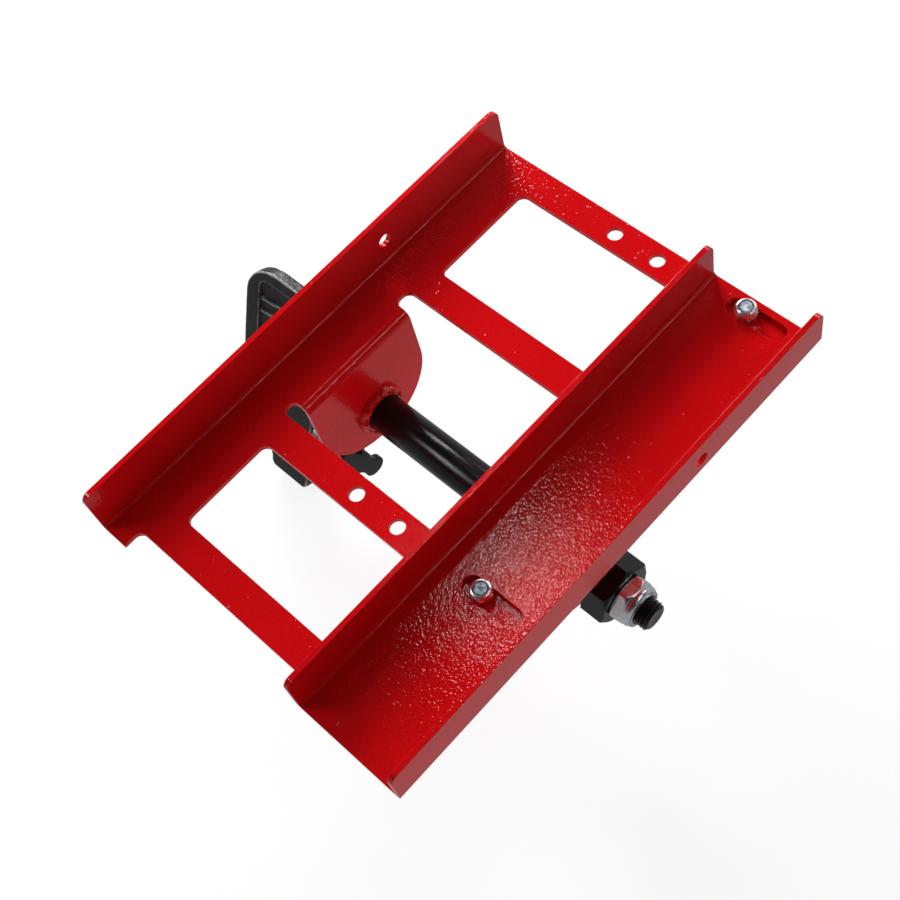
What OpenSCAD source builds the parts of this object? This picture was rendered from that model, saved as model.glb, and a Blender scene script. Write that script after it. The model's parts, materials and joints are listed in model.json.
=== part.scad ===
// Vertical cutting guide: a bent steel frame that slides along a timber, a channel that sets the
// timber width, and a swinging clamp that holds a saw bar below the frame.
// Z = 0 is the seat face that lies on the timber, and the fences stand up from it along +Z.
// Y runs along the rail. X = 0 is the middle of the seat strip, and +X points to the channel.

/* [Sheet metal] */
// Thickness of all the bent sheet
sheet_t = 3; // [2.5:0.1:3.5]
// Inside radius of every bend
bend_r = 2.5; // [2:0.1:3]
// Corner radius of the windows
window_r = 4.5; // [3:0.5:6]
// Radius of the fences' top corners
fence_corner_r = 5; // [3:0.5:7]

/* [Frame] */
// Length of the rail and of the channel
rail_len = 300; // [296:1:310]
// Distance from the rail's outer face to the frame's far edge
frame_w = 212; // [208:1:214]
// Height of the fixed fence above the seat
fence_h = 30; // [24:1:34]
// Distance from the fixed fence's outer face to the middle of the seat strip
strip_mid = 18; // [17:0.5:19]
// Distance from the fixed fence's outer face to the windows
strip_w = 32.6; // [32:0.2:34]
// Width of the outer crossbars and of the middle ones
bar_w = 18.5; // [17:0.5:20]
// How far the near crossbar sits in from the rail's near end
near_inset = 11; // [9:0.5:13]
// Width of the rail strip beside that inset
tongue_w = 18; // [16:0.5:20]

/* [Adjusting holes] */
// Diameter of the crossbar holes
adjust_d = 8.5; // [8:0.1:9]
// Spacing of the crossbar holes
adjust_pitch = 28.6; // [28:0.1:29]
// Distance from the fixed fence's outer face to the first crossbar hole
adjust_first = 90.6; // [88:0.1:92]
// Diameter of the hole in each fence
fence_hole_d = 8; // [6:0.5:9]
// Height of the fence holes above the seat
fence_hole_z = 14; // [12:0.5:16]
// Distance of the fence holes from mid-length
fence_hole_y = 58; // [50:1:70]

/* [Channel] */
// Outside width of the channel
channel_w = 69.3; // [68:0.1:71]
// Height of the channel's fences above the seat
channel_h = 27.8; // [24:0.2:30]
// Distance from the fixed fence's outer face to the channel's near fence
channel_at = 145.9; // [144:0.1:147]
// Overall length of each slot
slot_len = 35.5; // [34:0.5:36]
// Width of each slot
slot_w = 10.4; // [9:0.1:10.8]
// Gap between the channel's near fence and the slots
slot_from_fence = 19; // [18:0.5:20]

/* [Pivot] */
// Distance of the pivot axis below the seat
pivot_drop = 50; // [48:1:54]
// Distance of the pivot axis from mid-length
pivot_y = 1.2; // [0:0.1:2]
// Width of the lugs that carry the pivot
lug_w = 75.6; // [70:0.2:78]
// Distance from the seat to the centre of the lugs' rounded end
lug_round_z = 36; // [34:1:38]
// Diameter of the pivot shaft
shaft_d = 22; // [20:0.5:24]
// Outside diameter of the pivot bushings
bushing_d = 25.4; // [25:0.2:29]
// Leg of the weld around each bushing
weld_leg = 2.8; // [2:0.2:4]
// Running clearance around the shaft, on the radius
shaft_clear = 0.05; // [0.02:0.01:0.1]

/* [Bar clamp] */
// Angle that the clamp leans from square to the seat
clamp_tilt = 23.6; // [15:0.1:30]
// Thickness of the clamp's jaw and leg
jaw_t = 16; // [14:0.5:18]
// Thickness of the clamp's plate
plate_t = 8; // [6:0.5:8]
// Height of the clamp above the pivot axis
clamp_top = 44; // [40:0.5:45]
// Depth of the clamp below the pivot axis
clamp_low = 94.5; // [90:0.5:96]
// Width of the throat that takes the saw bar
throat_w = 15; // [14:0.5:16]
// Distance from the pivot axis to the clamping screw
screw_drop = 50; // [48:1:54]
// Thread diameter of the clamping screw
screw_d = 8; // [7:0.5:9]

/* [Hidden] */

$fn = 64;
past = 1;                                  // how far a cut runs past the face it opens
fit_gap = 0.05;                            // gap between sliding faces
seam = 0.01;                               // overlap that joins two touching shapes
bend_root = 0.3;                           // flat end of a bend, which sinks into the sheet
bend_out = bend_r + sheet_t;

// Frame, along X
fence_x = -strip_mid;                      // outer face of the fixed fence
frame_end = fence_x + frame_w;
window_x0 = fence_x + strip_w;
lug_inset = 4;                             // from a window's end to the facing side of the lug
lug_face = window_x0 + lug_inset;          // face of the left lug that looks at the right one
lug_span = 150;                            // clear distance between the two lugs
right_lug_face = lug_face + lug_span;
window_x1 = right_lug_face + lug_inset;

// Frame, along Y
half_len = rail_len / 2;
near_bar_y = -half_len + near_inset + bar_w / 2;
inner_bar_y = -55.2;
mid_bar_y = 57.3;
far_bar_y = half_len - bar_w / 2;
relief_depth = 5;                          // how far the cuts beside a lug reach past its bend
relief_r = 3.4;                            // corner radius of the cut on a lug's near side

// Adjusting holes and the bolts that use the last of them
bolt_x = fence_x + adjust_first + 3 * adjust_pitch;
bolt_rows = [inner_bar_y, far_bar_y];

// Channel
channel_x0 = fence_x + channel_at;
channel_x1 = channel_x0 + channel_w;
slot_x0 = channel_x0 + slot_from_fence;

// Channel bolts and nuts
bolt_r = 3.15;
bolt_head_r = 6.8;
bolt_head_h = 3.6;
bolt_below = 0.2;                          // how far a bolt ends below the top of its nut
nut_af = 11.1;
nut_hex_h = 4.2;
nut_h = 6;
nut_turn = 14.6;
nut_z = sheet_t + 2 * fit_gap;
insert_from = 0.64;                        // where a nut's insert starts, as a part of the nut's height
insert_part = 0.2;                         // height of the insert, as a part of the nut's height
insert_wide = 1.2;                         // outer radius of the insert, as a part of the bore's radius
mouth_from = 0.86;                         // where the bore widens, as a part of the nut's height
mouth_wide = 1.1;                          // radius of that mouth, as a part of the bore's radius
collar_part = 0.49;                        // radius of a nut's collar, as a part of its width
collar_round = 0.55;                       // rounding of the collar, as a part of its height

// Pivot
shaft_r = shaft_d / 2;
shaft_x0 = -10;
thread_r = 7.9;
thread_pitch = 2;
thread_depth = 0.9;
thread_turns = 3;
shaft_chamfer = 1;
bushing_out = 1;                           // how far a bushing stands out behind its lug
bushing_x0 = lug_face - sheet_t - bushing_out;
bushing_len = 7.9;
right_bushing_more = 5.4;                  // how much longer the right bushing is, toward the collar
mirror_sum = lug_face + right_lug_face;    // x of a left lug feature plus x of its mirror image
shoulder_x = mirror_sum - bushing_x0 + right_bushing_more + 0.5;
washer_t = 1;
washer_rim = 4.5;                          // how far the thrust washer reaches past the shaft
collar_af = 32;
collar_x0 = shoulder_x + 0.1;
collar_len = 14.7;
collar_turn = 45;
big_nut_x0 = collar_x0 + collar_len;
big_nut_af = 24;
big_nut_hex_h = 7.2;
big_nut_h = 12;
big_nut_turn = 19.3;
thread_x0 = big_nut_x0 + big_nut_h + 0.4;  // start of the thread past the nut

// Bar clamp, measured from the pivot axis in the clamp's own leaning frame
front = -jaw_t / 2;                        // the face that the pocket is cut in
leg_x1 = 4.5;                              // outer face of the screw's leg
leg_w = 14.5;
leg_x0 = leg_x1 - leg_w;
leg_low = 65;
jaw_face = leg_x0 - throat_w;
jaw_w = 31;
jaw_x0 = jaw_face - jaw_w;
jaw_top = -20;
jaw_corner_r = 4;
leg_corner_r = 4;
throat_corner_r = 3;
spine_x0 = -84.5;
spine_low = -25;
top_corner_r = 23;
throat_top = -19;
hub_r = 17;
hub_x0 = leg_x0;
hub_x1 = bushing_x0 - washer_t - 0.2;
plate_low = -42;                           // lower edge of the plate's round outline
web_low = 7 - clamp_low;                   // lower edge of the web that runs down to the jaw
rim_side = 11;                             // rims left round the pocket
rim_top = 8;
rim_low = 8;
rim_hub = 12;
pocket_depth = 2.4;
pocket_r = 7;
rib_len = 18;
rib_w = 2.2;
rib_t = 2;
rib_sunk = 0.8;                            // from the floor of the pocket to the middle of a rib
rib_shift = 4;                             // how far the upper rib sits nearer to the hub
rib_step = 9;                              // distance between the two ribs, up the pocket
rib_x = -67.5;
rib_z = 14.4;
rib_rise = 9;                              // slope of the ribs, in degrees
pin_x = 1;
pin_r = 2.5;
pin_len = 2 * hub_r - 1;

// Clamping screw
screw_r = screw_d / 2;
pad_r = 8;
screw_play = 0.5;                          // gap left at the jaw and at the leg
pad_x0 = jaw_face + screw_play;
pad_len = 4.2;
socket_len = 2.2;
knob_x0 = leg_x1 + screw_play;
knob_len = 5.2;
knob_hub_r = 7.5;
ear_t = 4.4;                               // thickness of the knob's ears
lobe_r = 6.6;
lobe_at = 15.6;
lobe_angle = -39;
neck_part = 0.8;                           // half width of an ear's neck, as a part of the lobe's radius

// ---------------------------------------------------------------- helpers

// Extrudes an outline drawn in X and Z along Y, centred on Y = 0
module along_y(len) {
    rotate([90, 0, 0]) linear_extrude(height = len, center = true) children();
}

// Extrudes an outline drawn in Y and Z along +X, starting at x0
module along_x(x0, len) {
    translate([x0, 0, 0]) rotate([90, 0, 90]) linear_extrude(height = len) children();
}

// Turns a Z axis shape to lie along +X, starting at x0
module lay_x(x0) {
    translate([x0, 0, 0]) rotate([0, 90, 0]) children();
}

// Rectangle between two corners, with round corners
module round_rect(x0, y0, x1, y1, r) {
    translate([x0 + r, y0]) square([x1 - x0 - 2 * r, y1 - y0]);
    translate([x0, y0 + r]) square([x1 - x0, y1 - y0 - 2 * r]);
    for (x = [x0 + r, x1 - r], y = [y0 + r, y1 - r]) translate([x, y]) circle(r);
}

// Quarter of a bend in the sheet: the ring section that lies left of and below its centre
module bend_ring() {
    intersection() {
        difference() {
            circle(bend_out);
            circle(bend_r);
        }
        translate([-bend_out, -bend_out]) square(bend_out);
    }
}

// Outline of a fence that turns up from the sheet at x = 0
module fence_outline(h) {
    translate([0, bend_r]) square([sheet_t, h - bend_r]);
    translate([bend_out, bend_r]) bend_ring();
    translate([bend_out, -sheet_t]) square([bend_root, sheet_t]);
}

// Fence of the full rail length, with round top corners
module fence(h) {
    intersection() {
        along_y(rail_len) fence_outline(h);
        along_x(-past, bend_out + 2 * past) {
            translate([-half_len, -sheet_t]) square([rail_len, sheet_t + h - fence_corner_r]);
            translate([-half_len + fence_corner_r, 0]) square([rail_len - 2 * fence_corner_r, h]);
            for (s = [-1, 1]) translate([s * (half_len - fence_corner_r), h - fence_corner_r])
                circle(fence_corner_r);
        }
    }
}

// Round hole through a fence, along X
module fence_hole(x) {
    translate([0, fence_hole_y, fence_hole_z]) lay_x(x - past)
        cylinder(d = fence_hole_d, h = sheet_t + 2 * past);
}

// Puts its children on the pivot axis
module at_pivot() {
    translate([0, pivot_y, -pivot_drop]) children();
}

// Puts its children in the clamp's leaning frame
module in_clamp() {
    at_pivot() rotate([-clamp_tilt, 0, 0]) children();
}

// Mirrors a left lug feature to the right lug
module to_right_lug() {
    translate([mirror_sum, 0, 0]) mirror([1, 0, 0]) children();
}

// Hexagonal prism with its corners rounded off at the top, flats apart by af
module hex_block(af, h, turn, chamfer_bottom) {
    corner_r = af / sqrt(3);
    chamfer = (corner_r - af / 2) * 0.9;
    rise = chamfer * 0.6;
    low_r = chamfer_bottom ? corner_r - chamfer : corner_r + past;
    low_rise = chamfer_bottom ? rise * 2 : past;
    intersection() {
        rotate([0, 0, turn]) cylinder(r = corner_r, h = h, $fn = 6);
        rotate_extrude() polygon([[0, 0], [low_r, 0], [corner_r + past, low_rise],
                                  [corner_r + past, h - rise * 2], [corner_r - chamfer, h], [0, h]]);
    }
}

// Lock nut standing on z = 0: hexagon, round collar above it, bore and seat for the insert
module lock_nut(af, hex_h, h, bore_r, turn) {
    collar_r = af * collar_part;
    round_r = (h - hex_h) * collar_round;
    difference() {
        union() {
            hex_block(af, hex_h + 0.4, turn, true);
            cylinder(r = collar_r, h = h - round_r);
            rotate_extrude() {
                translate([collar_r - round_r, h - round_r]) circle(round_r);
                square([collar_r - round_r, h]);
            }
        }
        translate([0, 0, -past]) cylinder(r = bore_r, h = h + 2 * past);
        translate([0, 0, h * insert_from]) cylinder(r = bore_r * insert_wide, h = h * insert_part);
        translate([0, 0, h * mouth_from]) cylinder(r = bore_r * mouth_wide, h = h);
    }
}

// Ring that locks the thread, in the seat of a lock nut standing on z = 0
module nut_insert(h, bore_r) {
    difference() {
        translate([0, 0, h * insert_from]) cylinder(r = bore_r * insert_wide, h = h * insert_part);
        cylinder(r = bore_r, h = h);
    }
}

// ---------------------------------------------------------------- frame

// Flat sheet of the frame: windows between four crossbars, relief cuts beside the lugs, bolt holes
module frame_sheet() {
    difference() {
        translate([fence_x + bend_out, -half_len]) square([frame_w - bend_out, rail_len]);
        // windows, from the near end to the far end
        round_rect(window_x0, near_bar_y + bar_w / 2, window_x1, inner_bar_y - bar_w / 2, window_r);
        round_rect(window_x0, mid_bar_y + bar_w / 2, window_x1, far_bar_y - bar_w / 2, window_r);
        lug_window();
        // inset of the near crossbar, round only at its inner corner
        round_rect(fence_x + tongue_w, -rail_len, 2 * frame_end, -half_len + near_inset, window_r);
        for (y = bolt_rows, i = [0:3])
            translate([fence_x + adjust_first + i * adjust_pitch, y]) circle(d = adjust_d);
    }
}

// Window between the lugs: its ends reach back beside each lug as relief cuts
module lug_window() {
    y0 = inner_bar_y + bar_w / 2;
    y1 = mid_bar_y - bar_w / 2;
    bend_x = lug_face - bend_out;
    past_middle = mirror_sum / 2 + window_r + past;
    translate([bend_x, -lug_w / 2 - past]) square([mirror_sum - 2 * bend_x, lug_w + 2 * past]);
    for (side = [0, 1]) translate([side * mirror_sum, 0]) mirror([side, 0]) {
        round_rect(bend_x - relief_depth, y0, past_middle, -lug_w / 2, relief_r);
        round_rect(bend_x - relief_depth, lug_w / 2, past_middle, y1, window_r);
    }
}

// Outline of a lug that turns down from the sheet, with its facing side at x = 0
module lug_outline() {
    translate([-sheet_t, -lug_round_z]) square([sheet_t, lug_round_z - bend_out]);
    translate([-bend_out, -bend_out]) rotate(180) bend_ring();
    translate([-bend_out - bend_root, -sheet_t]) square([bend_root, sheet_t]);
}

// Left lug: the sheet bends down and ends in a half circle around the pivot
module lug() {
    translate([lug_face, 0, 0]) along_y(lug_w) lug_outline();
    along_x(lug_face - sheet_t, sheet_t) intersection() {
        translate([0, -lug_round_z]) circle(d = lug_w, $fn = 128);
        translate([-lug_w, -2 * lug_w]) square([2 * lug_w, 2 * lug_w - lug_round_z + seam]);
    }
}

module guide_frame() {
    color([0.62, 0.02, 0.03]) difference() {
        union() {
            translate([fence_x, 0, 0]) fence(fence_h);
            translate([0, 0, -sheet_t]) linear_extrude(height = sheet_t) frame_sheet();
            lug();
            to_right_lug() lug();
        }
        fence_hole(fence_x);
        at_pivot() lay_x(lug_face - sheet_t - past)
            cylinder(d = bushing_d, h = lug_span + 2 * (sheet_t + past));
    }
}

// Tube that lines the pivot hole of a lug, and runs on by more behind it
module pivot_bushing(more) {
    len = bushing_len + more;
    at_pivot() lay_x(bushing_x0 - more) difference() {
        cylinder(d = bushing_d, h = len);
        translate([0, 0, -past]) cylinder(r = shaft_r + shaft_clear, h = len + 2 * past);
    }
}

// Weld between a bushing and the inner face of its lug
module weld_bead() {
    at_pivot() lay_x(lug_face) rotate_extrude() intersection() {
        translate([bushing_d / 2, 0]) circle(weld_leg);
        translate([bushing_d / 2, 0]) square(weld_leg);
    }
}

module left_pivot_bushing() {
    color([0.62, 0.02, 0.03]) pivot_bushing(0);
}

module right_pivot_bushing() {
    color([0.62, 0.02, 0.03]) to_right_lug() pivot_bushing(right_bushing_more);
}

module left_weld_bead() {
    color([0.62, 0.02, 0.03]) weld_bead();
}

module right_weld_bead() {
    color([0.62, 0.02, 0.03]) to_right_lug() weld_bead();
}

// ---------------------------------------------------------------- channel

module guide_channel() {
    color([0.62, 0.02, 0.03]) translate([0, 0, sheet_t + fit_gap]) difference() {
        union() {
            translate([channel_x0, 0, 0]) fence(channel_h - sheet_t);
            translate([channel_x1, 0, 0]) mirror([1, 0, 0]) fence(channel_h - sheet_t);
            translate([channel_x0 + bend_out, -half_len, -sheet_t])
                cube([channel_w - 2 * bend_out, rail_len, sheet_t]);
        }
        for (y = bolt_rows) translate([0, 0, -sheet_t - past]) linear_extrude(height = sheet_t + 2 * past)
            round_rect(slot_x0, y - slot_w / 2, slot_x0 + slot_len, y + slot_w / 2, slot_w / 2 - seam);
        translate([0, 0, -sheet_t]) fence_hole(channel_x1 - sheet_t);
    }
}

// Bolt with a low round head under a crossbar
module channel_bolt(y) {
    dome_r = (bolt_head_r * bolt_head_r + bolt_head_h * bolt_head_h) / (2 * bolt_head_h);
    color([0.75, 0.77, 0.8]) translate([bolt_x, y, 0]) {
        translate([0, 0, -sheet_t]) cylinder(r = bolt_r, h = sheet_t + nut_z + nut_h - bolt_below);
        translate([0, 0, -sheet_t - bolt_head_h]) rotate_extrude() intersection() {
            translate([0, dome_r]) circle(dome_r, $fn = 128);
            square([bolt_head_r, bolt_head_h]);
        }
    }
}

module near_channel_bolt() {
    channel_bolt(bolt_rows[0]);
}

module far_channel_bolt() {
    channel_bolt(bolt_rows[1]);
}

module channel_nut(y) {
    color([0.78, 0.8, 0.83]) translate([bolt_x, y, nut_z])
        lock_nut(nut_af, nut_hex_h, nut_h, bolt_r, nut_turn);
}

module near_lock_nut() {
    channel_nut(bolt_rows[0]);
}

module far_lock_nut() {
    channel_nut(bolt_rows[1]);
}

module near_nut_insert() {
    color([0.75, 0.85, 0.95]) translate([bolt_x, bolt_rows[0], nut_z]) nut_insert(nut_h, bolt_r);
}

module far_nut_insert() {
    color([0.75, 0.85, 0.95]) translate([bolt_x, bolt_rows[1], nut_z]) nut_insert(nut_h, bolt_r);
}

// ---------------------------------------------------------------- pivot

// Half section of the shaft's exposed thread, as ridges around the shaft
module thread_profile() {
    root_r = thread_r - thread_depth;
    for (i = [0:thread_turns - 1]) translate([0, i * thread_pitch])
        polygon([[0, 0], [thread_r, 0], [root_r, thread_pitch * 0.4], [root_r, thread_pitch * 0.6],
                 [thread_r, thread_pitch], [0, thread_pitch]]);
    translate([0, thread_turns * thread_pitch])
        polygon([[0, 0], [thread_r, 0], [root_r, thread_depth], [0, thread_depth]]);
}

module pivot_shaft() {
    color([0.05, 0.05, 0.05]) difference() {
        at_pivot() {
            lay_x(shaft_x0) cylinder(r = shaft_r, h = shoulder_x - shaft_x0 - shaft_chamfer);
            lay_x(shoulder_x - shaft_chamfer)
                cylinder(r1 = shaft_r, r2 = shaft_r - shaft_chamfer, h = shaft_chamfer);
            lay_x(shoulder_x) cylinder(r = thread_r, h = thread_x0 - shoulder_x);
            lay_x(thread_x0) rotate_extrude() thread_profile();
        }
        in_clamp() cross_pin_hole();
    }
}

module shaft_hex_collar() {
    color([0.04, 0.04, 0.04]) at_pivot() lay_x(collar_x0) difference() {
        hex_block(collar_af, collar_len, collar_turn, false);
        translate([0, 0, -past]) cylinder(r = thread_r + shaft_clear, h = collar_len + 2 * past);
    }
}

module shaft_lock_nut() {
    color([0.78, 0.8, 0.83]) at_pivot() lay_x(big_nut_x0)
        lock_nut(big_nut_af, big_nut_hex_h, big_nut_h, thread_r, big_nut_turn);
}

module shaft_nut_insert() {
    color([0.75, 0.85, 0.95]) at_pivot() lay_x(big_nut_x0) nut_insert(big_nut_h, thread_r);
}

module thrust_washer() {
    color([0.05, 0.05, 0.05]) at_pivot() lay_x(hub_x1 + fit_gap) difference() {
        cylinder(r = shaft_r + washer_rim, h = washer_t);
        translate([0, 0, -past]) cylinder(r = shaft_r + shaft_clear, h = washer_t + 2 * past);
    }
}

// ---------------------------------------------------------------- bar clamp

// Hole for the cross pin, through the hub and the shaft
module cross_pin_hole() {
    translate([pin_x, 0, 0]) rotate([90, 0, 0]) cylinder(r = pin_r, h = 2 * hub_r + 2 * past, center = true);
}

// Outline of the clamp's plate: wide at the pivot, with the spine leaning in to the jaw
module clamp_outline() {
    round_rect(spine_x0, plate_low, leg_x1, clamp_top, top_corner_r);
    polygon([[spine_x0, jaw_top], [spine_x0, spine_low], [jaw_x0, web_low],
             [jaw_face, web_low], [jaw_face, jaw_top]]);
}

// The slot between jaw and leg that takes the saw bar
module clamp_throat() {
    along_y(2 * jaw_t) round_rect(jaw_face, -2 * clamp_low, leg_x0, throat_top, throat_corner_r);
}

// Pocket in the front of the plate
module clamp_pocket() {
    translate([0, front + pocket_depth / 2 - past / 2, 0]) along_y(pocket_depth + past)
        round_rect(spine_x0 + rim_side, spine_low + rim_low, hub_x0 - rim_hub, clamp_top - rim_top, pocket_r);
}

// Raised ribs on the floor of the pocket
module pocket_ribs() {
    rib_y = front + pocket_depth - rib_sunk;
    for (i = [0, 1]) translate([rib_x + i * rib_shift, rib_y, rib_z + i * rib_step])
        rotate([0, -rib_rise, 0]) cube([rib_len, rib_t, rib_w], center = true);
}

module bar_clamp() {
    color([0.04, 0.04, 0.04]) in_clamp() difference() {
        union() {
            difference() {
                translate([0, front + plate_t / 2, 0]) along_y(plate_t) clamp_outline();
                clamp_pocket();
            }
            pocket_ribs();
            along_y(jaw_t) round_rect(jaw_x0, -clamp_low, jaw_face, jaw_top, jaw_corner_r);
            along_y(jaw_t) round_rect(leg_x0, -leg_low, leg_x1, hub_r / 2, leg_corner_r);
            lay_x(hub_x0) cylinder(r = hub_r, h = hub_x1 - hub_x0);
        }
        clamp_throat();
        lay_x(shaft_x0 - 0.1) cylinder(r = shaft_r, h = hub_x1 - shaft_x0 + past);
        translate([0, 0, -screw_drop]) lay_x(leg_x0 - past)
            cylinder(r = screw_r + fit_gap, h = leg_w + 2 * past);
        cross_pin_hole();
    }
}

module clamp_cross_pin() {
    color([0.2, 0.2, 0.2]) in_clamp() translate([pin_x, 0, 0]) rotate([90, 0, 0])
        cylinder(r = pin_r, h = pin_len, center = true);
}

// Clamping screw with a two-lobed head
module clamp_screw() {
    tip_x = pad_x0 + pad_len - socket_len + 0.1;
    color([0.05, 0.05, 0.05]) in_clamp() translate([0, 0, -screw_drop]) {
        lay_x(tip_x) cylinder(r = screw_r, h = knob_x0 - tip_x);
        lay_x(knob_x0) cylinder(r = knob_hub_r, h = knob_len);
        along_x(knob_x0 + knob_len - ear_t, ear_t) rotate(lobe_angle) {
            translate([-lobe_at, -lobe_r * neck_part]) square([2 * lobe_at, 2 * lobe_r * neck_part]);
            for (s = [-1, 1]) translate([s * lobe_at, 0]) circle(lobe_r);
        }
    }
}

// Round pad that turns on the tip of the clamping screw
module pressure_pad() {
    color([0.6, 0.62, 0.65]) in_clamp() translate([0, 0, -screw_drop]) lay_x(pad_x0) difference() {
        cylinder(r = pad_r, h = pad_len);
        translate([0, 0, pad_len - socket_len]) cylinder(r = screw_r + fit_gap, h = socket_len + past);
    }
}

guide_frame();
left_pivot_bushing();
right_pivot_bushing();
left_weld_bead();
right_weld_bead();
guide_channel();
near_channel_bolt();
far_channel_bolt();
near_lock_nut();
far_lock_nut();
near_nut_insert();
far_nut_insert();
pivot_shaft();
shaft_hex_collar();
shaft_lock_nut();
shaft_nut_insert();
thrust_washer();
bar_clamp();
clamp_cross_pin();
clamp_screw();
pressure_pad();
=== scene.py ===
"""Looks for the vertical cutting guide: powder-coated frame and channel, black clamp, shaft and plated nuts."""

import json
import math

import bmesh
import bpy
from mathutils import Matrix, Vector, noise


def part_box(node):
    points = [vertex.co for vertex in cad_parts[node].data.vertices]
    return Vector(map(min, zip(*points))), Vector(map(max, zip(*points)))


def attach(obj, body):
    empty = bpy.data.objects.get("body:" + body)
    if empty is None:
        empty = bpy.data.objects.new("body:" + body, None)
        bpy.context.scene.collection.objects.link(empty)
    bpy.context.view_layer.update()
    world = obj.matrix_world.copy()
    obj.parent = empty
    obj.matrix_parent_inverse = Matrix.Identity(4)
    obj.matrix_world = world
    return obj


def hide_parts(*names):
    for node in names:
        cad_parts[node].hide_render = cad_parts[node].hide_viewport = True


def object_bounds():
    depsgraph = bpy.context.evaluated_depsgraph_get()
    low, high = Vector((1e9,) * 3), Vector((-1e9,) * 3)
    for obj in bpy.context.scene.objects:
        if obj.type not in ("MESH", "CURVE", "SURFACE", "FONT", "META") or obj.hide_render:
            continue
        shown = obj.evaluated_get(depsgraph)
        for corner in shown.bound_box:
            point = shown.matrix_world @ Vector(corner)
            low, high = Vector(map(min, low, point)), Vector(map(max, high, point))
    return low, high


MM = 0.001

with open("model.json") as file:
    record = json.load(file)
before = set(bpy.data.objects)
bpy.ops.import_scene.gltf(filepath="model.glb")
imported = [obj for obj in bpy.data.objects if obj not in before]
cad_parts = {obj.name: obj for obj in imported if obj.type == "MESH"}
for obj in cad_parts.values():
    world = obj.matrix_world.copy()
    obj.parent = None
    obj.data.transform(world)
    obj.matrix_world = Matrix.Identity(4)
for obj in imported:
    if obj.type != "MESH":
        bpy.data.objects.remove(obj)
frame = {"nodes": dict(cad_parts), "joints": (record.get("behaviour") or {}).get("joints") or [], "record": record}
cad_low, cad_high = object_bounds()
nodes = frame["nodes"]
joints = {joint["name"]: joint for joint in frame["joints"]}
PIVOT = Vector(joints["clamp_pivot"]["pos_m"])


# ---------------------------------------------------------------- node helpers


class Nodes:
    """A short way to write a node tree: make nodes, set their sockets and link them."""

    def __init__(self, tree):
        self.tree = tree
        self.tree.nodes.clear()

    def add(self, kind, **settings):
        node = self.tree.nodes.new(kind)
        for name, value in settings.items():
            setattr(node, name, value)
        return node

    def put(self, node, **values):
        for name, value in values.items():
            socket = node.inputs[name.replace("_", " ")]
            if isinstance(value, bpy.types.NodeSocket):
                self.tree.links.new(value, socket)
            else:
                socket.default_value = value
        return node

    def link(self, source, target):
        self.tree.links.new(source, target)

    def position(self):
        return self.add("ShaderNodeTexCoord").outputs["Object"]

    def noise(self, scale, detail=2.0, roughness=0.5, where=None):
        node = self.add("ShaderNodeTexNoise")
        self.put(node, Scale=scale, Detail=detail, Roughness=roughness)
        self.link(where or self.position(), node.inputs["Vector"])
        return node.outputs["Fac"]

    def spots(self, scale, low, high, where=None):
        """1 at the middle of scattered cells, falling to 0 between low and high."""
        node = self.add("ShaderNodeTexVoronoi")
        self.put(node, Scale=scale)
        self.link(where or self.position(), node.inputs["Vector"])
        return self.ramp(node.outputs["Distance"], low, high, 1.0, 0.0)

    def ramp(self, value, low, high, at_low=0.0, at_high=1.0):
        node = self.add("ShaderNodeMapRange", interpolation_type="SMOOTHSTEP")
        self.link(value, node.inputs["Value"])
        node.inputs["From Min"].default_value = low
        node.inputs["From Max"].default_value = high
        node.inputs["To Min"].default_value = at_low
        node.inputs["To Max"].default_value = at_high
        return node.outputs["Result"]

    def math(self, operation, a, b):
        node = self.add("ShaderNodeMath", operation=operation)
        for socket, value in zip(node.inputs, (a, b)):
            if isinstance(value, bpy.types.NodeSocket):
                self.link(value, socket)
            else:
                socket.default_value = value
        return node.outputs["Value"]

    def mix(self, fac, a, b):
        node = self.add("ShaderNodeMix", data_type="RGBA")
        self.link(fac, node.inputs["Factor"])
        for socket, value in ((node.inputs[6], a), (node.inputs[7], b)):
            if isinstance(value, bpy.types.NodeSocket):
                self.link(value, socket)
            else:
                socket.default_value = (*value, 1.0)
        return node.outputs[2]

    def bump(self, height, distance, strength=1.0, under=None):
        node = self.add("ShaderNodeBump")
        self.put(node, Height=height, Distance=distance, Strength=strength)
        if under:
            self.link(under, node.inputs["Normal"])
        return node.outputs["Normal"]


def new_material(name):
    material = bpy.data.materials.new(name)
    material.use_nodes = True
    return material, Nodes(material.node_tree)


def finish_material(build, shader):
    output = build.add("ShaderNodeOutputMaterial")
    build.link(shader.outputs["BSDF"], output.inputs["Surface"])


# ---------------------------------------------------------------- materials


def powder_coat():
    """Glossy red powder coat: orange peel, fine nibs, and a little variation in depth of colour."""
    material, build = new_material("red_powder_coat")
    peel = build.noise(780, detail=1.0, roughness=0.5)
    waves = build.noise(210, detail=1.0)
    nibs = build.spots(230, 0.04, 0.14)
    rough_normal = build.bump(waves, 0.00003, under=build.bump(peel, 0.00013))
    normal = build.bump(nibs, 0.00008, under=rough_normal)
    tone = build.noise(14, detail=3.0)
    colour = build.mix(build.ramp(tone, 0.3, 0.7), (0.5, 0.0035, 0.005), (0.56, 0.004, 0.006))
    shader = build.add("ShaderNodeBsdfPrincipled")
    build.put(shader, Base_Color=colour, Roughness=build.ramp(waves, 0.3, 0.7, 0.05, 0.08))
    build.put(shader, Normal=normal, IOR=1.4)
    finish_material(build, shader)
    return material


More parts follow.
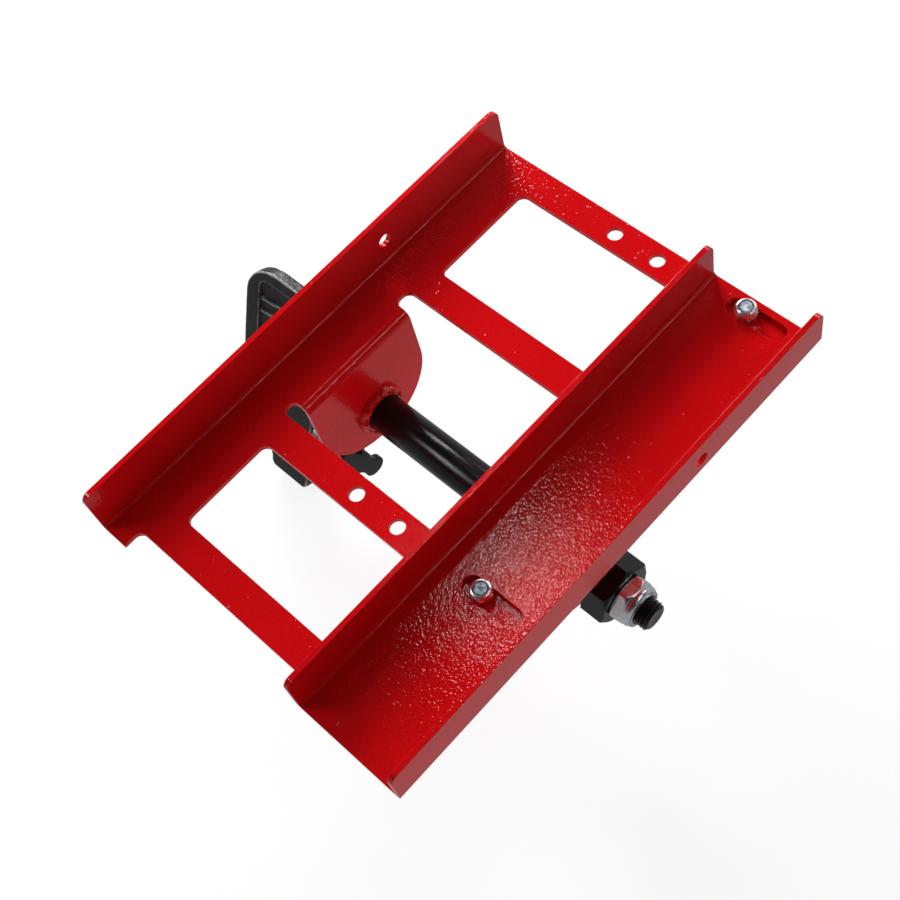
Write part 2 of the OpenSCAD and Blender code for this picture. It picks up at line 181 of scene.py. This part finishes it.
def satin_black():
    """Black oxide and paint on turned steel: fine turning marks lost under a satin coat."""
    material, build = new_material("black_steel")
    grain = build.noise(1400, detail=2.0)
    cloud = build.noise(40, detail=3.0)
    colour = build.mix(build.ramp(cloud, 0.3, 0.7), (0.004, 0.004, 0.0045), (0.008, 0.008, 0.009))
    shader = build.add("ShaderNodeBsdfPrincipled")
    build.put(shader, Base_Color=colour, Roughness=build.ramp(cloud, 0.25, 0.75, 0.16, 0.22))
    build.put(shader, Normal=build.bump(grain, 0.00006), IOR=1.3)
    finish_material(build, shader)
    return material


def black_casting():
    """Painted sand casting: a fine grain with slow swells below it."""
    material, build = new_material("black_casting")
    grain = build.noise(1300, detail=3.0, roughness=0.6)
    swell = build.noise(160, detail=2.0)
    cloud = build.noise(30, detail=3.0)
    colour = build.mix(build.ramp(cloud, 0.3, 0.7), (0.005, 0.005, 0.0055), (0.011, 0.011, 0.012))
    normal = build.bump(grain, 0.00009, under=build.bump(swell, 0.0003))
    # Painted highlight: convex edges and ridges are painted a lighter grey, broken up by the swells, to stand in
    # for the bright line that light draws along them.
    pointed = build.add("ShaderNodeNewGeometry").outputs["Pointiness"]
    painted_edge_highlight = build.math("MULTIPLY", build.ramp(pointed, 0.51, 0.55), build.ramp(swell, 0.3, 0.55, 0.4, 1.0))
    colour = build.mix(painted_edge_highlight, colour, (0.4, 0.42, 0.45))
    shader = build.add("ShaderNodeBsdfPrincipled")
    build.put(shader, Base_Color=colour, Roughness=build.ramp(grain, 0.3, 0.7, 0.22, 0.34))
    build.put(shader, Normal=normal, IOR=1.32)
    finish_material(build, shader)
    return material


def zinc_plate():
    """Bright zinc: metal with a faint bluish cast, light haze and small handling marks."""
    material, build = new_material("zinc_plate")
    haze = build.noise(300, detail=4.0, roughness=0.6)
    marks = build.noise(2200, detail=2.0)
    colour = build.mix(build.ramp(haze, 0.3, 0.7), (0.62, 0.64, 0.7), (0.82, 0.83, 0.86))
    shader = build.add("ShaderNodeBsdfPrincipled")
    build.put(shader, Base_Color=colour, Metallic=1.0, Roughness=build.ramp(haze, 0.3, 0.7, 0.24, 0.34))
    build.put(shader, Normal=build.bump(marks, 0.00003))
    finish_material(build, shader)
    return material


def cut_end():
    """Plated bolt: duller than the nut, with a sawn end."""
    material, build = new_material("bolt_zinc")
    saw = build.noise(1500, detail=3.0)
    stain = build.noise(420, detail=3.0)
    colour = build.mix(build.ramp(stain, 0.35, 0.65), (0.16, 0.19, 0.23), (0.5, 0.56, 0.62))
    shader = build.add("ShaderNodeBsdfPrincipled")
    build.put(shader, Base_Color=colour, Metallic=1.0, Roughness=build.ramp(stain, 0.3, 0.7, 0.42, 0.52))
    build.put(shader, Normal=build.bump(saw, 0.00008))
    finish_material(build, shader)
    return material


def nylon():
    """Dark translucent ring of a lock nut."""
    material, build = new_material("nylon")
    cloud = build.noise(500, detail=2.0)
    colour = build.mix(build.ramp(cloud, 0.3, 0.7), (0.02, 0.025, 0.04), (0.05, 0.06, 0.09))
    shader = build.add("ShaderNodeBsdfPrincipled")
    build.put(shader, Base_Color=colour, Roughness=build.ramp(cloud, 0.3, 0.7, 0.3, 0.4), IOR=1.53)
    finish_material(build, shader)
    return material


def plain_steel():
    """Turned bare steel with fine rings and a slight oil stain."""
    material, build = new_material("pad_steel")
    rings = build.noise(900, detail=3.0)
    stain = build.noise(70, detail=3.0)
    colour = build.mix(build.ramp(stain, 0.35, 0.7), (0.5, 0.5, 0.5), (0.36, 0.34, 0.32))
    shader = build.add("ShaderNodeBsdfPrincipled")
    build.put(shader, Base_Color=colour, Metallic=1.0, Roughness=build.ramp(rings, 0.3, 0.7, 0.3, 0.42))
    build.put(shader, Normal=build.bump(rings, 0.00005))
    finish_material(build, shader)
    return material


def floor_paper():
    """Pale lit table: white paper that glows a little, so that shadows stay faint."""
    material, build = new_material("floor_paper")
    fibre = build.noise(300, detail=3.0)
    colour = build.mix(build.ramp(fibre, 0.3, 0.7), (0.13, 0.13, 0.13), (0.14, 0.14, 0.14))
    shader = build.add("ShaderNodeBsdfPrincipled")
    build.put(shader, Base_Color=colour, Roughness=0.9, Emission_Color=(1.0, 1.0, 1.0, 1.0))
    build.put(shader, Emission_Strength=0.87)
    finish_material(build, shader)
    return material


MATERIALS = {
    "red_powder_coat": powder_coat(),
    "black_steel": satin_black(),
    "black_casting": black_casting(),
    "zinc_plate": zinc_plate(),
    "nylon": nylon(),
    "pad_steel": plain_steel(),
}
BOLT_FINISH = cut_end()


# ---------------------------------------------------------------- CAD nodes


def dress(name):
    """Gives a CAD node the material of its slot."""
    slot = next(s["material_slot"] for s in frame["record"]["subparts"] if s["node"] == name)
    mesh = nodes[name].data
    mesh.materials.clear()
    mesh.materials.append(MATERIALS[slot])


def soften(name, width, segments=3):
    """Rounds a CAD node's sharp edges, as paint and plating do."""
    node = nodes[name]
    weld = node.modifiers.new("weld", "WELD")
    weld.merge_threshold = 0.00001
    planar = node.modifiers.new("planar", "DECIMATE")
    planar.decimate_type = "DISSOLVE"
    planar.angle_limit = math.radians(0.8)
    bevel = node.modifiers.new("bevel", "BEVEL")
    bevel.width = width
    bevel.segments = segments
    bevel.limit_method = "ANGLE"
    bevel.angle_limit = math.radians(35)
    bevel.use_clamp_overlap = True
    bevel.miter_outer = "MITER_ARC"
    weighted = node.modifiers.new("weighted", "WEIGHTED_NORMAL")
    weighted.mode = "FACE_AREA"
    weighted.weight = 100
    for polygon in node.data.polygons:
        polygon.use_smooth = True


def cast(name, voxel, rounds):
    """Gives a CAD node the soft edges of a casting or a forging."""
    node = nodes[name]
    weld = node.modifiers.new("weld", "WELD")
    weld.merge_threshold = 0.00001
    remesh = node.modifiers.new("remesh", "REMESH")
    remesh.mode = "VOXEL"
    remesh.voxel_size = voxel
    remesh.use_smooth_shade = True
    smooth = node.modifiers.new("smooth", "SMOOTH")
    smooth.factor = 0.5
    smooth.iterations = rounds


for node_name in nodes:
    dress(node_name)
for node_name in ("near_channel_bolt", "far_channel_bolt"):
    nodes[node_name].data.materials[0] = BOLT_FINISH
for node_name in ("guide_frame", "guide_channel"):
    soften(node_name, 1.0 * MM, 4)
for node_name in ("near_channel_bolt", "far_channel_bolt"):
    soften(node_name, 0.2 * MM, 2)
for node_name in ("shaft_hex_collar", "thrust_washer", "pressure_pad"):
    soften(node_name, 0.3 * MM, 3)
for node_name in ("left_pivot_bushing", "right_pivot_bushing"):
    soften(node_name, 0.5 * MM, 3)
cast("bar_clamp", 0.75 * MM, 11)
cast("clamp_screw", 0.4 * MM, 7)


# ---------------------------------------------------------------- new pieces


def add_piece(name, bm, body, slot, *replaced):
    """Turns a bmesh into a shaded piece that rides on a body and stands for CAD nodes."""
    mesh = bpy.data.meshes.new(name)
    bmesh.ops.recalc_face_normals(bm, faces=bm.faces)
    bm.to_mesh(mesh)
    bm.free()
    for polygon in mesh.polygons:
        polygon.use_smooth = True
    piece = bpy.data.objects.new(name, mesh)
    bpy.context.scene.collection.objects.link(piece)
    mesh.materials.append(MATERIALS[slot])
    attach(piece, body)
    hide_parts(*replaced)


def lathe(rings, closed=False):
    """Skins rings of points, each ring closed. rings is a list of equal lists of vectors."""
    bm = bmesh.new()
    made = [[bm.verts.new(point) for point in ring] for ring in rings]
    pairs = list(zip(made, made[1:]))
    if closed:
        pairs.append((made[-1], made[0]))
    for low, high in pairs:
        for i in range(len(low)):
            k = (i + 1) % len(low)
            bm.faces.new((low[i], low[k], high[k], high[i]))
    if not closed:
        bm.faces.new(list(reversed(made[0])))
        bm.faces.new(made[-1])
    return bm


def about_pivot(x, radius, angle):
    """Point at x along the pivot axis, at that radius and angle round it."""
    return Vector((x, PIVOT.y + radius * math.cos(angle), PIVOT.z + radius * math.sin(angle)))


TURN_STEPS = 96


def weld_bead(name, x_face, side, body_node):
    """Uneven fillet weld round a bushing: overlapping ripples that run down onto the lug."""
    steps, section = 360, 16
    ripples, lump_rise = 19, 1.3
    inner, outer, rise = 11.3 * MM, 15.6 * MM, 5.4 * MM
    rings = []
    for i in range(steps):
        angle = 2 * math.pi * i / steps
        around = Vector((math.cos(angle), math.sin(angle), 0.3 * side))
        lump = noise.noise(around * 2.1) * lump_rise * MM + noise.noise(around * 5.0) * lump_rise * MM
        scale = (angle * ripples / (2 * math.pi) + 0.35 * noise.noise(around * 3.0)) % 1.0
        ripple = 0.55 * MM * (scale ** 0.6 - 0.6)
        ring = []
        for k in range(section):
            turn = math.radians(-30 + 330 * k / (section - 1))
            swell = (lump + ripple) * max(0.0, math.sin(min(turn, math.pi)))
            middle = (inner + outer) / 2
            radius = middle + (outer - middle + swell) * math.cos(turn)
            depth = (rise - 1.2 * MM + 0.8 * swell) * math.sin(turn)
            if radius < inner:
                radius = inner
            ring.append(about_pivot(x_face + side * depth, radius, angle))
        rings.append(ring)
    add_piece(name, lathe(rings, closed=True), "frame", "red_powder_coat", body_node)


def shaft():
    """Turned shaft with a helical thread on its end."""
    low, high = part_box("pivot_shaft")
    nut_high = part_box("shaft_lock_nut")[1].x
    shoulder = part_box("shaft_hex_collar")[0].x - 0.1 * MM
    main_r, thread_r = 11 * MM, 7.9 * MM
    pitch, depth, chamfer = 2 * MM, 1.15 * MM, 1.3 * MM
    x_list = [low.x, low.x + 0.8 * MM, shoulder - 1.0 * MM, shoulder, shoulder + 0.01 * MM]
    thread_from = nut_high - 3 * MM
    x_list.append(thread_from - 0.01 * MM)
    count = int((high.x - thread_from) / (0.16 * MM))
    x_list += [thread_from + (high.x - thread_from) * i / count for i in range(count + 1)]

    def radius_at(x, angle):
        if x < low.x + 0.5 * MM:
            return main_r - 0.8 * MM
        if x < shoulder - 0.5 * MM:
            return main_r
        if x < shoulder + 0.005 * MM:
            return main_r - 0.9 * MM
        if x < thread_from:
            return thread_r
        turn = (x / pitch - angle / (2 * math.pi)) % 1.0
        groove = max(0.0, min(1.0, 1.25 - abs(turn - 0.5) * 3.4))
        ridge = thread_r - depth * groove
        return min(ridge, thread_r - chamfer + (high.x - x))

    rings = []
    for x in x_list:
        angles = [2 * math.pi * j / TURN_STEPS for j in range(TURN_STEPS)]
        rings.append([about_pivot(x, radius_at(x, a), a) for a in angles])
    # Rings that close the threaded end, each a share of the one before
    for part, sunk in ((0.82, 0.0), (0.5, 0.25 * MM)):
        ring = []
        for point in rings[-1]:
            offset = Vector((0, point.y - PIVOT.y, point.z - PIVOT.z))
            ring.append(Vector((high.x - sunk, PIVOT.y, PIVOT.z)) + offset * part)
        rings.append(ring)
    add_piece("shaft", lathe(rings), "clamp", "black_steel", "pivot_shaft")


def lock_nut(name, body, base, axis, flats, height, hex_height, bore, turn):
    """Nylon lock nut: chamfered hexagon, domed collar, and an open seat for its insert.

    base is the middle of its lower face, axis the way it points, and turn the angle of a corner.
    """
    corner = flats / math.sqrt(3)
    collar = 0.49 * flats
    low_chamfer, high_chamfer = 0.05 * flats, 0.12 * flats
    chamfer_depth = 0.085 * flats
    up = Vector(axis)
    side = Vector((1, 0, 0)) if abs(up.z) > 0.5 else Vector((0, 1, 0))
    third = up.cross(side)

    def hexagon(angle):
        from_flat = (angle - turn + math.pi / 6) % (math.pi / 3) - math.pi / 6
        across = math.pi / 6 - abs(from_flat)
        return min(flats / 2 / math.cos(across), corner * 0.985)

    def outside(z, angle):
        if z <= hex_height:
            rise = min(z / low_chamfer, (hex_height - z) / high_chamfer)
            cone = corner - chamfer_depth * max(0.0, 1.0 - rise) ** 1.3
            return min(hexagon(angle), cone)
        part = (z - hex_height) / (height - hex_height)
        dome = collar * (0.72 + 0.28 * math.sqrt(max(0.0, 1.0 - max(0.0, part - 0.25) ** 2 / 0.5625)))
        return min(dome, corner - chamfer_depth)

    steps = 120
    angles = [2 * math.pi * k / steps for k in range(steps)]
    levels = [hex_height * k / 24 for k in range(25)]
    levels += [hex_height + (height - hex_height) * k / 20 for k in range(1, 21)]
    profile = [[(z, outside(z, angle)) for angle in angles] for z in levels]
    seat = 1.22 * bore
    for z, radius in ((height, 1.34 * bore), (height - 0.05 * bore, seat), (0.63 * height, seat),
                      (0.63 * height, bore), (0.0, bore)):
        profile.append([(z, radius)] * steps)
    rings = []
    for level in profile:
        rings.append([Vector(base) + up * z + (side * math.cos(a) + third * math.sin(a)) * radius
                      for a, (z, radius) in zip(angles, level)])
    cad_name = name + "_lock_nut"
    add_piece(name + "_domed_nut", lathe(rings, closed=True), body, "zinc_plate", cad_name)


SMALL_NUT_FLATS, SMALL_NUT_HEX, SMALL_NUT_BORE = 11.1 * MM, 4.2 * MM, 3.15 * MM
SMALL_NUT_TURN = math.radians(14.6)
LARGE_NUT_FLATS, LARGE_NUT_HEX, LARGE_NUT_BORE = 24.0 * MM, 7.6 * MM, 7.9 * MM
LARGE_NUT_TURN = math.radians(19.3 + 30)  # the middle of a flat, and from there to a corner

for end in ("near", "far"):
    nut_low, nut_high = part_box(end + "_lock_nut")
    nut_base = ((nut_low.x + nut_high.x) / 2, (nut_low.y + nut_high.y) / 2, nut_low.z)
    lock_nut(end, "frame", nut_base, (0, 0, 1), SMALL_NUT_FLATS, nut_high.z - nut_low.z, SMALL_NUT_HEX,
             SMALL_NUT_BORE, SMALL_NUT_TURN)
nut_low, nut_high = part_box("shaft_lock_nut")
lock_nut("shaft", "clamp", (nut_low.x, PIVOT.y, PIVOT.z), (1, 0, 0), LARGE_NUT_FLATS, nut_high.x - nut_low.x,
         LARGE_NUT_HEX, LARGE_NUT_BORE, LARGE_NUT_TURN)

left_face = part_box("left_weld_bead")[0].x
right_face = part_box("right_weld_bead")[1].x
weld_bead("left_weld", left_face, 1, "left_weld_bead")
weld_bead("right_weld", right_face, -1, "right_weld_bead")
shaft()


# ---------------------------------------------------------------- stage


def make_camera():
    """Camera above the channel's near side, looking down and across the frame."""
    data = bpy.data.cameras.new("camera")
    data.lens = 60.0
    data.sensor_width = 36.0
    data.clip_start = 0.01
    camera = bpy.data.objects.new("camera", data)
    bpy.context.scene.collection.objects.link(camera)
    right = Vector((0.7168, 0.6778, -0.1636))
    up = Vector((-0.5443, 0.6906, 0.4763))
    back = right.cross(up)
    place = Matrix((right, up, back)).transposed().to_4x4()
    place.translation = Vector((0.4160, -0.1956, 0.6414))
    camera.matrix_world = place
    bpy.context.scene.camera = camera


def area_light(name, toward, distance, size, power, target):
    """Softbox that looks at target from the direction toward."""
    data = bpy.data.lights.new(name, "AREA")
    data.shape = "RECTANGLE"
    data.size, data.size_y = size
    data.energy = power
    light = bpy.data.objects.new(name, data)
    bpy.context.scene.collection.objects.link(light)
    direction = Vector(toward).normalized()
    light.location = Vector(target) + direction * distance
    light.rotation_mode = "QUATERNION"
    light.rotation_quaternion = direction.to_track_quat("Z", "Y")


def make_floor():
    bm = bmesh.new()
    bmesh.ops.create_grid(bm, x_segments=8, y_segments=8, size=6.0)
    mesh = bpy.data.meshes.new("floor")
    bm.to_mesh(mesh)
    bm.free()
    mesh.materials.append(floor_paper())
    floor = bpy.data.objects.new("floor", mesh)
    floor.location.z = cad_low.z - 0.0005
    floor.visible_glossy = False
    bpy.context.scene.collection.objects.link(floor)


def make_world():
    """Dark room with a pale band low round the horizon, for the plated and black parts to reflect."""
    world = bpy.data.worlds.new("room")
    bpy.context.scene.world = world
    world.use_nodes = True
    build = Nodes(world.node_tree)
    direction = build.add("ShaderNodeTexCoord").outputs["Generated"]
    split = build.add("ShaderNodeSeparateXYZ")
    build.link(direction, split.inputs["Vector"])
    level = build.ramp(split.outputs["Z"], 0.1, 0.42, 1.0, 0.0)
    background = build.add("ShaderNodeBackground")
    colour = build.mix(level, (0.015, 0.015, 0.016), (0.4, 0.4, 0.41))
    build.put(background, Color=colour, Strength=1.0)
    output = build.add("ShaderNodeOutputWorld")
    build.link(background.outputs["Background"], output.inputs["Surface"])


make_camera()
make_floor()
make_world()
middle = (cad_low + cad_high) / 2
LIGHTS = (  # name, direction it shines from, distance, size, power, what it looks at
    ("key", (-0.66, 0.5, 0.5), 1.3, (0.45, 0.4), 18.5, middle),
    ("side", (-0.88, 0.3, 0.38), 1.3, (1.0, 0.4), 5.0, middle),
    ("back", (-0.05, 0.87, 0.5), 1.3, (0.9, 0.4), 5.0, middle),
    ("near", (-0.5, -0.45, 0.72), 1.3, (0.4, 0.3), 4.5, middle),
    ("softbox", (-0.35, 0.23, 0.91), 1.1, (0.08, 0.055), 0.36, Vector((0.178, -0.052, 0.0))),
    ("strip", (0.58, 0.33, 0.74), 1.2, (0.7, 0.07), 1.6, middle),
)
for row in LIGHTS:
    area_light(*row)
bpy.context.scene.view_settings.view_transform = "Standard"
